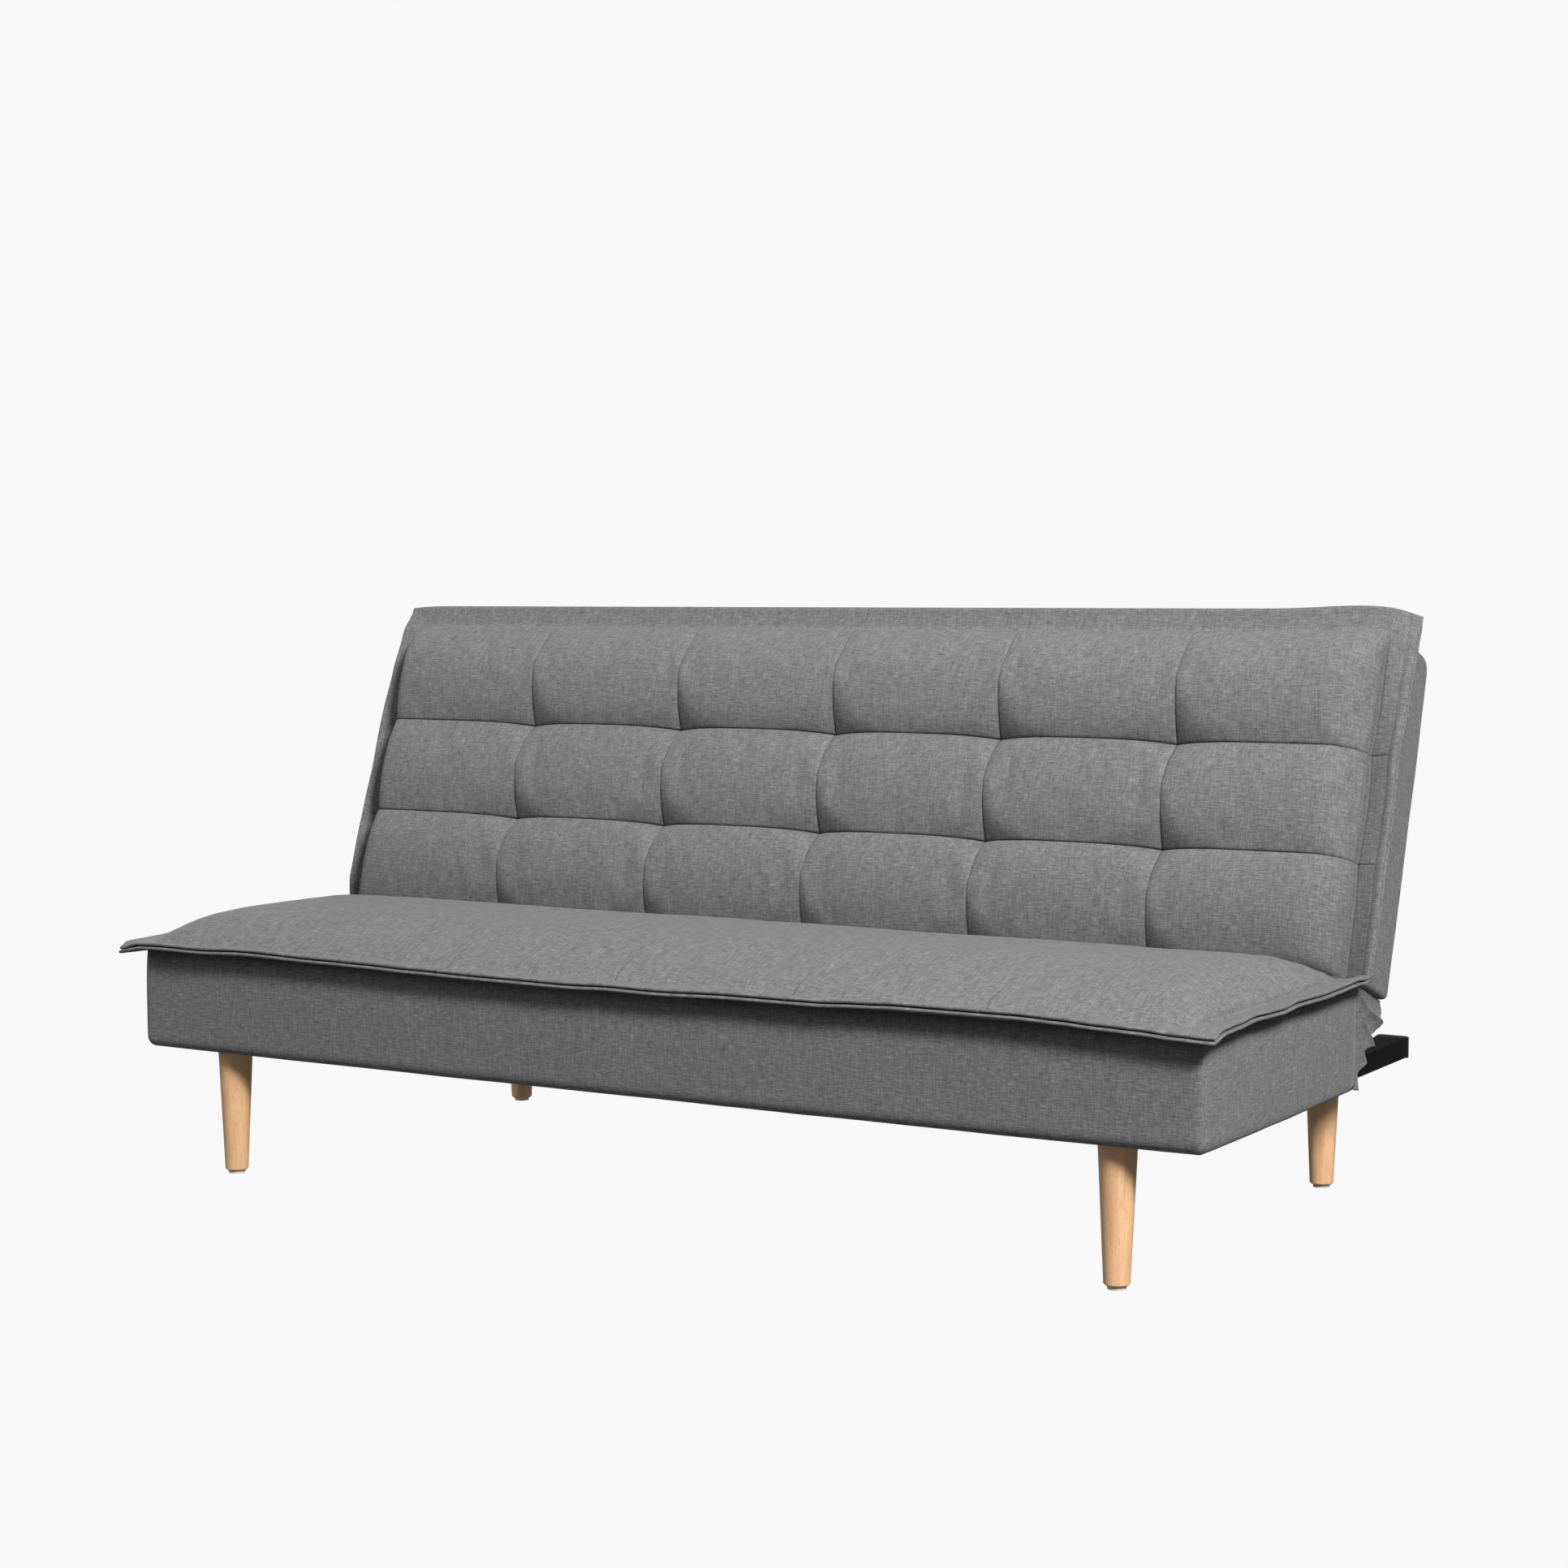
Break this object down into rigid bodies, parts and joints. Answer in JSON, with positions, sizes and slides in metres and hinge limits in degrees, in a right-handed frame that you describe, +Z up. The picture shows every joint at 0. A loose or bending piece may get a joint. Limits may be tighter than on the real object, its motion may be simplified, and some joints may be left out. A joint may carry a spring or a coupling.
{
  "type": "futon sofa bed",
  "caption": "Armless three-seat futon sofa bed with a tufted back that reclines flat on ratchet hinges over a steel rail base with round tapered wooden legs.",
  "frame": {"origin": "floor level, below the centre of the bounding box", "axes": "+X to the right along the length as seen by a person facing the sofa, +Y from the front edge of the seat towards the back, +Z up"},
  "size_m": [1.8, 0.915, 0.8636],
  "materials": {
    "grey_fabric": "matte",
    "foam": "matte",
    "frame_wood": "matte",
    "beech": "satin",
    "black_steel": "satin",
    "zinc_steel": "satin",
    "black_plastic": "matte",
    "glide_plastic": "matte",
    "dust_cloth": "matte"
  },
  "bodies": {
    "frame": {"crease_fabric": "grey_fabric", "cross_rail_front": "black_steel", "cross_rail_rear": "black_steel", "frame_bolts": "zinc_steel", "gusset_left": "grey_fabric", "gusset_right": "grey_fabric", "hinge_base_left": "zinc_steel", "hinge_base_right": "zinc_steel", "hinge_pin_left": "zinc_steel", "hinge_pin_right": "zinc_steel", "leg_bolts": "zinc_steel", "leg_front_left": "beech", "leg_front_right": "beech", "leg_glides": "glide_plastic", "leg_plates": "zinc_steel", "leg_rear_left": "beech", "leg_rear_right": "beech", "pawl_pins": "zinc_steel", "pawl_spring_left": "zinc_steel", "pawl_spring_right": "zinc_steel", "rail_end_caps": "black_plastic", "rail_left": "black_steel", "rail_right": "black_steel", "seat_apron_front": "grey_fabric", "seat_apron_left": "grey_fabric", "seat_apron_rear": "grey_fabric", "seat_apron_right": "grey_fabric", "seat_base_foam": "foam", "seat_centre_beams": "frame_wood", "seat_cushion": "grey_fabric", "seat_cushion_underside": "grey_fabric", "seat_dust_cover": "dust_cloth", "seat_front_board": "frame_wood", "seat_rear_board": "frame_wood", "seat_side_board_left": "frame_wood", "seat_side_board_right": "frame_wood", "seat_slat_ledges": "frame_wood", "seat_slats": "frame_wood"},
    "back": {"arm_bolts": "zinc_steel", "back_bottom_board": "frame_wood", "back_bottom_panel": "grey_fabric", "back_centre_posts": "frame_wood", "back_cushion": "grey_fabric", "back_cushion_underside": "grey_fabric", "back_foam": "foam", "back_rear_panel": "grey_fabric", "back_side_board_left": "frame_wood", "back_side_board_right": "frame_wood", "back_side_panel_left": "grey_fabric", "back_side_panel_right": "grey_fabric", "back_slats": "frame_wood", "back_top_board": "frame_wood", "back_top_panel": "grey_fabric", "hinge_arm_left": "zinc_steel", "hinge_arm_right": "zinc_steel"},
    "pawl_left": {"pawl_left": "zinc_steel"},
    "pawl_right": {"pawl_right": "zinc_steel"}
  },
  "joints": [
    {"name": "back_recline", "type": "hinge", "parent": "frame", "child": "back", "pos_m": [0, 0.13315, 0.322], "axis": [-1, 0, 0], "range_deg": [-6, 71.1], "deforming": ["gusset_left", "gusset_right", "crease_fabric"]},
    {"name": "pawl_left_lift", "type": "hinge", "parent": "frame", "child": "pawl_left", "pos_m": [-0.83875, 0.09135, 0.25995], "axis": [-1, 0, 0], "range_deg": [0, 12], "stiffness_Nm_per_rad": 0.5, "springref_deg": -11.46, "deforming": ["pawl_spring_left"]},
    {"name": "pawl_right_lift", "type": "hinge", "parent": "frame", "child": "pawl_right", "pos_m": [0.83875, 0.09135, 0.25995], "axis": [-1, 0, 0], "range_deg": [0, 12], "stiffness_Nm_per_rad": 0.5, "springref_deg": -11.46, "deforming": ["pawl_spring_right"]}
  ]
}
